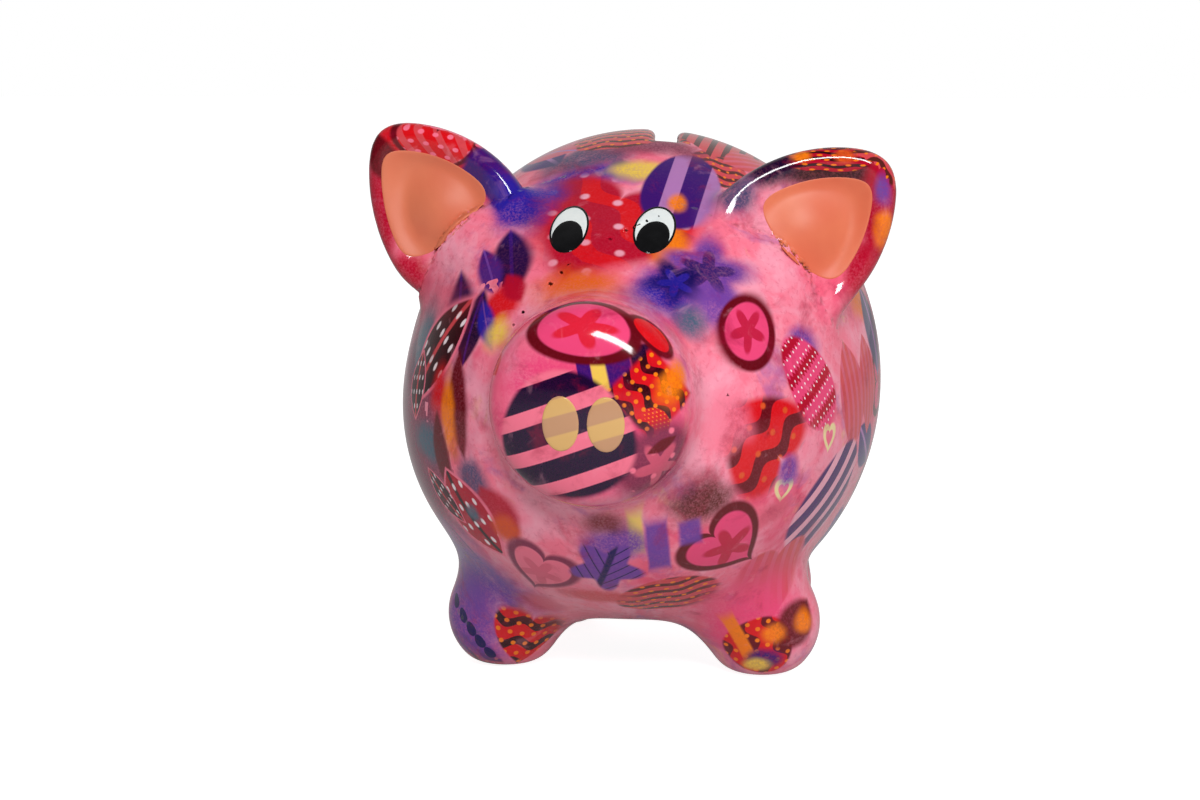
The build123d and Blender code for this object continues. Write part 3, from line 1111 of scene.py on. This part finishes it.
def motif_group():
    """One layer of print: draws its motif over the colour below it."""
    tree = bpy.data.node_groups.new("printed_layer", "ShaderNodeTree")
    sides = tree.interface
    sides.new_socket("Under", in_out="INPUT", socket_type="NodeSocketColor")
    for name in ("Place", "Design", "Inks", "Edge", "Texture"):
        sides.new_socket(name, in_out="INPUT", socket_type="NodeSocketVector")
    for name in ("Ragged", "Grain", "Haze"):
        sides.new_socket(name, in_out="INPUT", socket_type="NodeSocketFloat")
    sides.new_socket("Colour", in_out="OUTPUT", socket_type="NodeSocketColor")
    entry = tree.nodes.new("NodeGroupInput")
    close = tree.nodes.new("NodeGroupOutput")
    u, v, shape = split_vector(tree, entry.outputs["Place"])
    pattern, count, angle = split_vector(tree, entry.outputs["Design"])
    fill_ink, pattern_ink, dot_ink = split_vector(tree, entry.outputs["Inks"])
    line_ink, line, soft = split_vector(tree, entry.outputs["Edge"])
    dots, dot_size, fill = split_vector(tree, entry.outputs["Texture"])
    ragged = Wire(tree, entry.outputs["Ragged"])
    grain = Wire(tree, entry.outputs["Grain"])
    haze = Wire(tree, entry.outputs["Haze"])
    wobble = (ragged - 0.5) * (soft * soft * 3.2 + 0.01)
    reach = shape_reach(u, v, shape) + wobble
    mask = reach.step(haze * HAZE_SPREAD + soft + 1.0, haze * -0.4 - soft + 1.0)
    share = pattern_share(u, v, pattern, count, angle)
    share = share + (share * -1.0 + 0.5) * (haze * 0.75)
    colour = mix_colours(tree, share, palette_colour(tree, fill_ink), palette_colour(tree, pattern_ink))
    dotted = dot_share(u, v, dots, dot_size) * (haze * -0.8 + 1.0)
    colour = mix_colours(tree, dotted, colour, palette_colour(tree, dot_ink))
    edge = (reach + line).step(haze * -0.15 + 0.96, 1.02) * line.step(0.01, 0.02)
    colour = mix_colours(tree, edge, colour, palette_colour(tree, line_ink))
    shown = mask * fill.larger(edge) * (grain * (soft * 0.5) * -1.0 + 1.0)
    result = mix_colours(tree, shown, entry.outputs["Under"], colour)
    tree.links.new(result, close.inputs["Colour"])
    return tree


def noise(tree, scale, detail=2.0, roughness=0.5, distortion=0.0):
    """Noise fixed to the object, with features of about 1 / scale metres."""
    where = tree.nodes.new("ShaderNodeTexCoord")
    node = tree.nodes.new("ShaderNodeTexNoise")
    node.inputs["Scale"].default_value = scale
    node.inputs["Detail"].default_value = detail
    node.inputs["Roughness"].default_value = roughness
    node.inputs["Distortion"].default_value = distortion
    tree.links.new(where.outputs["Object"], node.inputs["Vector"])
    return Wire(tree, node.outputs["Fac"])


def new_material(name):
    material = bpy.data.materials.new(name)
    material.use_nodes = True
    return material, material.node_tree, material.node_tree.nodes["Principled BSDF"]


GLAZE_DEPTH = 1.15


def pink_ground(tree):
    """Watercolour pinks, with faint washes of lilac, coral and cream."""
    colour = linear((250, 132, 156))
    for scale, start, end, share, wash in (
        (60, 0.40, 0.66, 1.0, (250, 168, 188)),
        (38, 0.52, 0.70, 0.75, (236, 72, 118)),
        (47, 0.56, 0.70, 0.60, (172, 104, 170)),
        (53, 0.60, 0.72, 0.55, (242, 186, 140)),
        (210, 0.50, 0.68, 0.25, (252, 190, 206)),
        (700, 0.52, 0.72, 0.25, (206, 44, 92)),
    ):
        cloud = noise(tree, scale, 4, 0.6, 0.5).step(start, end) * share
        colour = mix_colours(tree, cloud, colour, linear(wash))
    return colour


def marbled(tree, colour):
    """Uneven ink: crimson clouds and pale washes over everything that is printed."""
    cloud = noise(tree, 95, 5, 0.65, 0.5).step(0.52, 0.76) * 0.5
    colour = mix_colours(tree, cloud, colour, linear((170, 16, 66)))
    wash = noise(tree, 130, 4, 0.6, 0.8).step(0.58, 0.74) * 0.18
    return mix_colours(tree, wash, colour, linear((255, 186, 202)))


def deepened(tree, colour):
    """The clear glaze over the print makes its colours deeper."""
    node = tree.nodes.new("ShaderNodeGamma")
    node.inputs["Gamma"].default_value = GLAZE_DEPTH
    tree.links.new(colour, node.inputs["Color"])
    return node.outputs["Color"]


def glaze_bump(tree, shader, scale=30.0, height=0.0004):
    bump = tree.nodes.new("ShaderNodeBump")
    bump.inputs["Distance"].default_value = height
    bump.inputs["Strength"].default_value = 0.35
    tree.links.new(noise(tree, scale, 1.0).socket, bump.inputs["Height"])
    tree.links.new(bump.outputs["Normal"], shader.inputs["Normal"])


def printed_glaze():
    material, tree, shader = new_material("printed_glaze")
    colour = pink_ground(tree)
    ragged = noise(tree, 140, 1, 0.5)
    grain = noise(tree, 1500, 2, 0.7).step(0.35, 0.7)
    reader = tree.nodes.new("ShaderNodeAttribute")
    reader.attribute_name = "haze"
    haze = Wire(tree, reader.outputs["Fac"])
    group = motif_group()
    for layer in range(LAYERS):
        node = tree.nodes.new("ShaderNodeGroup")
        node.node_tree = group
        tree.links.new(colour, node.inputs["Under"])
        for name in ("place", *FACE_ROWS):
            reader = tree.nodes.new("ShaderNodeAttribute")
            reader.attribute_name = f"{name}_{layer}"
            tree.links.new(reader.outputs["Vector"], node.inputs[name.capitalize()])
        for name, wire in (("Ragged", ragged), ("Grain", grain), ("Haze", haze)):
            tree.links.new(wire.socket, node.inputs[name])
        colour = node.outputs["Colour"]
    tree.links.new(deepened(tree, marbled(tree, colour)), shader.inputs["Base Color"])
    shader.inputs["Roughness"].default_value = 0.09
    shader.inputs["IOR"].default_value = 1.5
    glaze_bump(tree, shader)
    return material


def bare_clay():
    """Unglazed earthenware, inside the bank and under the feet."""
    material, tree, shader = new_material("bare_clay")
    colour = mix_colours(tree, noise(tree, 180, 4, 0.6), linear((226, 214, 196)), linear((206, 190, 170)))
    colour = mix_colours(tree, noise(tree, 1400, 2).step(0.62, 0.72) * 0.4, colour, linear((150, 128, 108)))
    tree.links.new(colour, shader.inputs["Base Color"])
    shader.inputs["Roughness"].default_value = 0.85
    glaze_bump(tree, shader, 900.0, 0.0003)
    return material


FOOT_FLAT_HEIGHT = 0.25


def mark_bare_faces(mesh):
    """Gives the second material to the inside of the wall and the flats of the feet."""
    middles = np.empty(3 * len(mesh.polygons))
    mesh.polygons.foreach_get("center", middles)
    middles = middles.reshape(-1, 3) / MM
    bare = (middles[:, Z] < FOOT_FLAT_HEIGHT) | (body_distance(middles) < -0.6 * WALL)
    mesh.polygons.foreach_set("material_index", bare.astype(int))


set_up_shapes()
skin_points, skin_normals, skin_quads, skin_region = build_skin()
print_rows = print_motifs(skin_points, skin_normals, skin_quads)
glaze, clay = printed_glaze(), bare_clay()
for number, (name, node) in enumerate(zip(PIECES, REPLACED)):
    faces = np.nonzero(skin_region == number)[0]
    piece = piece_mesh(name, skin_points, skin_normals, skin_quads[faces])
    write_print(piece.data, print_rows, faces)
    write_haze(piece.data)
    piece.data.materials.append(glaze)
    piece.data.materials.append(clay)
    mark_bare_faces(piece.data)
    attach(piece, "bank")
    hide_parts(node)


# ---- fired transfers and painted patches: thin films that lie on the skin --------------------

FILM_SINK = 0.3                 # how far a film's underside lies inside the skin


def film_piece(name, frame_axes, outline, thickness, rings=9, spokes=72):
    """A closed film over the skin; outline gives places in the frame for turn and share."""
    origin, right, up, toward = frame_axes
    spots, lifts = [], []
    turns = np.arange(spokes) * 2 * math.pi / spokes
    for ring in range(1, rings + 1):
        share = 1.0 - (1.0 - ring / rings) ** 1.5
        across, above = outline(turns, share)
        spots.append(origin + across[:, None] * right + above[:, None] * up)
        lifts += [thickness * math.sqrt(max(1.0 - share ** 12, 0.0))] * spokes
    across, above = outline(turns[:1], 0.0)
    spots.append(origin + across[:, None] * right + above[:, None] * up)
    lifts.append(thickness)
    spots = drop_onto_skin(np.concatenate(spots) + 40.0 * toward, toward)
    normals = unit(gradient(outside_distance, spots, 0.3))
    top = spots + np.array(lifts)[:, None] * normals
    count = len(top)
    points = np.concatenate([top, spots - FILM_SINK * normals])
    faces = []
    for ring in range(rings - 1):
        for i in range(spokes):
            j = (i + 1) % spokes
            a, b = ring * spokes, (ring + 1) * spokes
            faces.append((a + i, b + i, b + j, a + j))
    faces += [(count - 1, i, (i + 1) % spokes) for i in range(spokes)]
    under = [tuple(count + i for i in reversed(face)) for face in faces]
    rim = (rings - 1) * spokes
    side = [(rim + i, rim + count + i, rim + count + (i + 1) % spokes, rim + (i + 1) % spokes)
            for i in range(spokes)]
    mesh = bpy.data.meshes.new(name)
    mesh.from_pydata((points * MM).tolist(), [], faces + under + side)
    mesh.polygons.foreach_set("use_smooth", np.ones(len(mesh.polygons), dtype=bool))
    mesh.update()
    piece = bpy.data.objects.new(name, mesh)
    bpy.context.scene.collection.objects.link(piece)
    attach(piece, "bank")
    return piece


def oval(wide, high, tilt=0.0, rise=0.0):
    """A tilted ellipse seen from in front, rise above the frame's origin."""
    turn = math.radians(tilt)

    def outline(turns, share):
        x = wide / 2 * share * np.cos(turns)
        z = high / 2 * share * np.sin(turns)
        return x * math.cos(turn) - z * math.sin(turn), x * math.sin(turn) + z * math.cos(turn) + rise
    return outline


def front_frame(x, z):
    toward, right, up = (np.array(axis, dtype=float) for axis in VIEWS["front"])
    return np.array([x, -60.0, z]), right, up, toward


def flat_glaze(name, colour, second, scale, roughness=0.1):
    """A fired colour with a soft, uneven second tone in it."""
    material, tree, shader = new_material(name)
    cloud = noise(tree, scale, 3, 0.6).step(0.35, 0.7)
    tree.links.new(mix_colours(tree, cloud, linear(colour), linear(second)), shader.inputs["Base Color"])
    shader.inputs["Roughness"].default_value = roughness
    glaze_bump(tree, shader)
    return material


EYE_Z = 129.6
EYES = {                        # where each eye is from side to side, its width, height and tilt
    "left": (11.3, 11.4, 11.8, 3.0),
    "right": (-12.1, 10.9, 11.8, -6.0),
}
EYE_RING = 0.8                  # how much narrower the white is than the black under it
PUPIL_SIZE = (9.2, 8.1)
PUPIL_DROP = 1.75


def make_eyes():
    white = flat_glaze("eye_white", (236, 240, 238), (226, 232, 232), 200)
    black = flat_glaze("eye_black", (10, 10, 12), (18, 18, 20), 200)
    for name, (x, wide, high, tilt) in EYES.items():
        frame_axes = front_frame(x, EYE_Z)
        parts = (
            ("eye_rim_film", black, oval(wide, high, tilt), 0.15, "black_transfer", name + "_eye_black"),
            ("eye_white_film", white, oval(wide - EYE_RING, high - EYE_RING, tilt), 0.22, "white_transfer",
             name + "_eye_white"),
            ("pupil_film", black, oval(*PUPIL_SIZE, tilt, rise=-PUPIL_DROP), 0.29, "black_transfer",
             name + "_eye_black"),
        )
        for kind, material, outline, thickness, slot, node in parts:
            piece = film_piece(f"{name}_{kind}", frame_axes, outline, thickness)
            piece.data.materials.append(material)
            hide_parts(node)


NOSTRIL_X, NOSTRIL_Z = 5.9, 83.0
NOSTRIL_SIZE = (9.7, 14.4)


def salmon_enamel():
    """Brushed-on satin enamel of uneven salmon tone, with sharp-edged paler patches painted in as a
    reflection of the room.
    """
    material, tree, shader = new_material("salmon_enamel")
    cloud = noise(tree, 45, 3, 0.6).step(0.3, 0.7)
    colour = mix_colours(tree, cloud, linear((224, 108, 74)), linear((230, 122, 84)))
    # painted reflection: sharp-edged paler, greyer patches, placed by noise, stand in for the room seen in
    # the satin enamel
    painted_reflection = noise(tree, 26, 1, 0.4).step(0.52, 0.54) * 0.35
    colour = mix_colours(tree, painted_reflection, colour, linear((210, 122, 92)))
    tree.links.new(colour, shader.inputs["Base Color"])
    shader.inputs["Roughness"].default_value = 0.45
    glaze_bump(tree, shader, 220.0, 0.00015)
    return material


def nostril_tan():
    """Thin tan colour, through which the stripes under it just show."""
    material, tree, shader = new_material("nostril_tan")
    where = tree.nodes.new("ShaderNodeTexCoord")
    x, _, z = split_vector(tree, where.outputs["Object"])
    stripe = ((z * 1000.0 - x * 300.0) * 0.105 + 0.12).fraction()
    shadow = (stripe - 0.5).size().step(0.2, 0.26) * 0.75
    colour = mix_colours(tree, shadow, linear((220, 174, 108)), linear((190, 138, 112)))
    tree.links.new(colour, shader.inputs["Base Color"])
    shader.inputs["Roughness"].default_value = 0.12
    return material


def make_nostrils():
    tan = nostril_tan()
    for name, ear in EARS.items():
        frame_axes = front_frame(ear["side"] * NOSTRIL_X, NOSTRIL_Z)
        piece = film_piece(name + "_nostril_film", frame_axes, oval(*NOSTRIL_SIZE), 0.15)
        piece.data.materials.append(tan)
        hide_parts(name + "_nostril")


PATCH_CORNER = 7.0
PATCH_THICKNESS = 0.3


def ear_patch_outline(ear):
    """The ear's outline drawn in by its rim, found along each turn by halving."""
    def outline(turns, share):
        inner, outer = np.zeros(len(turns)), np.full(len(turns), 60.0)
        for _ in range(24):
            middle = (inner + outer) / 2
            across, above = middle * np.cos(turns), middle * np.sin(turns)
            edge = ear_outline(across, above, ear["sides"], ear["patch_margins"], PATCH_CORNER)
            inner, outer = np.where(edge < 0.0, middle, inner), np.where(edge < 0.0, outer, middle)
        return share * inner * np.cos(turns), share * inner * np.sin(turns)
    return outline


def make_ear_patches():
    salmon = salmon_enamel()
    for name, ear in EARS.items():
        frame_axes = (ear["centre"], ear["axes"][:, 0], ear["axes"][:, 1], ear["axes"][:, 2])
        piece = film_piece(name + "_ear_enamel", frame_axes, ear_patch_outline(ear), PATCH_THICKNESS,
                           rings=24, spokes=144)
        piece.data.materials.append(salmon)
        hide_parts(name + "_ear_patch")


def stopper_rubber():
    """Matt black rubber with a faint bloom."""
    material, tree, shader = new_material("stopper_rubber")
    bloom = noise(tree, 120, 4, 0.6).step(0.45, 0.8) * 0.5
    colour = mix_colours(tree, bloom, linear((26, 26, 28)), linear((58, 56, 58)))
    tree.links.new(colour, shader.inputs["Base Color"])
    rough = noise(tree, 300, 3) * 0.25 + 0.5
    tree.links.new(rough.socket, shader.inputs["Roughness"])
    glaze_bump(tree, shader, 1600.0, 0.0001)
    return material


def dress_stopper():
    rubber = stopper_rubber()
    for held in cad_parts["stopper_plug"].material_slots:
        held.material = rubber


make_eyes()
make_nostrils()
make_ear_patches()
dress_stopper()


# ---- camera, lights and surroundings ------------------------------------------------------

CAMERA_YAW = 9.2
CAMERA_RISE = 7.9
CAMERA_DISTANCE = 700.0
CAMERA_AIM = np.array([0.0, -6.0, 80.0])
CAMERA_ASIDE = 9.0
CAMERA_DOWN = 2.1
CAMERA_LENS = 72.4


def add_camera():
    yaw, rise = math.radians(CAMERA_YAW), math.radians(CAMERA_RISE)
    back = np.array([math.sin(yaw) * math.cos(rise), -math.cos(yaw) * math.cos(rise), math.sin(rise)])
    right = np.array([math.cos(yaw), math.sin(yaw), 0.0])
    up = np.cross(back, right)
    place = CAMERA_AIM + CAMERA_DISTANCE * back - CAMERA_ASIDE * right - CAMERA_DOWN * up
    data = bpy.data.cameras.new("camera")
    data.lens = CAMERA_LENS
    data.sensor_width = 36.0
    camera = bpy.data.objects.new("camera", data)
    axes = Matrix(np.stack([right, up, back], axis=1).tolist()).to_4x4()
    camera.matrix_world = Matrix.Translation(Vector(place * MM)) @ axes
    bpy.context.scene.collection.objects.link(camera)
    bpy.context.scene.camera = camera


def aimed_place(turn, rise, distance):
    """A spot at a given turn from straight ahead, to the pig's left, and rise above the floor."""
    turn, rise = math.radians(turn), math.radians(rise)
    flat = distance * math.cos(rise)
    return LIGHT_AIM + np.array([flat * math.sin(turn), -flat * math.cos(turn), distance * math.sin(rise)])


def add_softbox(name, turn, rise, distance, size, watts, roll=0.0, mirrored=True):
    place = aimed_place(turn, rise, distance)
    data = bpy.data.lights.new(name, "AREA")
    data.shape = "RECTANGLE"
    data.size, data.size_y = (side * MM for side in size)
    data.energy = watts
    lamp = bpy.data.objects.new(name, data)
    facing = Vector(LIGHT_AIM - place).to_track_quat("-Z", "Y").to_matrix().to_4x4()
    spin = Matrix.Rotation(math.radians(roll), 4, "Z")
    lamp.matrix_world = Matrix.Translation(Vector(place * MM)) @ facing @ spin
    lamp.visible_glossy = mirrored
    bpy.context.scene.collection.objects.link(lamp)


LIGHT_AIM = np.array([0.0, -30.0, 90.0])
ROOM_AHEAD = 0.06               # brightness of the room in front of the pig, in its reflections
ROOM_BEHIND = 0.5
ROOM_FILL = 0.38                # brightness of the room as it lights matt colours
ROOM_LEAN = 0.26                # how much brighter that is on the pig's left, and dimmer on its right


def camera_share(tree):
    """Whether a ray comes straight from the camera, and whether it bounced off something matt."""
    path = tree.nodes.new("ShaderNodeLightPath")
    return Wire(tree, path.outputs["Is Camera Ray"]), Wire(tree, path.outputs["Is Diffuse Ray"])


def room_light():
    """A room that is white behind the pig and dim in front; straight on it is plain white."""
    world = bpy.data.worlds.new("white_room")
    world.use_nodes = True
    tree = world.node_tree
    where = tree.nodes.new("ShaderNodeTexCoord")
    aside, ahead, _ = split_vector(tree, where.outputs["Generated"])
    glow = ahead.step(0.15, 1.0) * (ROOM_BEHIND - ROOM_AHEAD) + ROOM_AHEAD
    seen, soaked = camera_share(tree)
    fill = aside * ROOM_LEAN + ROOM_FILL
    strength = (glow * (soaked * -1.0 + 1.0) + soaked * fill).larger(seen)
    tree.links.new(strength.socket, tree.nodes["Background"].inputs["Strength"])
    tree.nodes["Background"].inputs["Color"].default_value = (1, 1, 1, 1)
    bpy.context.scene.world = world
    bpy.context.scene.view_settings.view_transform = "Standard"


FLOOR_REACH = 12.0              # metres
FLOOR_GLOW = 0.12               # the light that the white sweep throws back
FLOOR_WHITE = 0.8               # and what is added to it straight on


def add_floor():
    mesh = bpy.data.meshes.new("floor")
    corners = [(x * FLOOR_REACH, y * FLOOR_REACH, 0) for x, y in ((-1, -1), (1, -1), (1, 1), (-1, 1))]
    mesh.from_pydata(corners, [], [(0, 1, 2, 3)])
    floor = bpy.data.objects.new("floor", mesh)
    bpy.context.scene.collection.objects.link(floor)
    material, tree, shader = new_material("floor_white")
    shader.inputs["Base Color"].default_value = (0.45, 0.45, 0.45, 1)
    shader.inputs["Roughness"].default_value = 0.8
    shader.inputs["Emission Color"].default_value = (1, 1, 1, 1)
    seen, _ = camera_share(tree)
    tree.links.new((seen * FLOOR_WHITE + FLOOR_GLOW).socket, shader.inputs["Emission Strength"])
    mesh.materials.append(material)


add_camera()
room_light()
add_floor()
add_softbox("key_softbox", 8, 32, 900, (380, 130), 4.6, roll=-28)
add_softbox("left_softbox", 55, 25, 1100, (500, 400), 1.6, mirrored=False)
add_softbox("back_softbox", 190, 20, 1200, (700, 500), 2.2, mirrored=False)
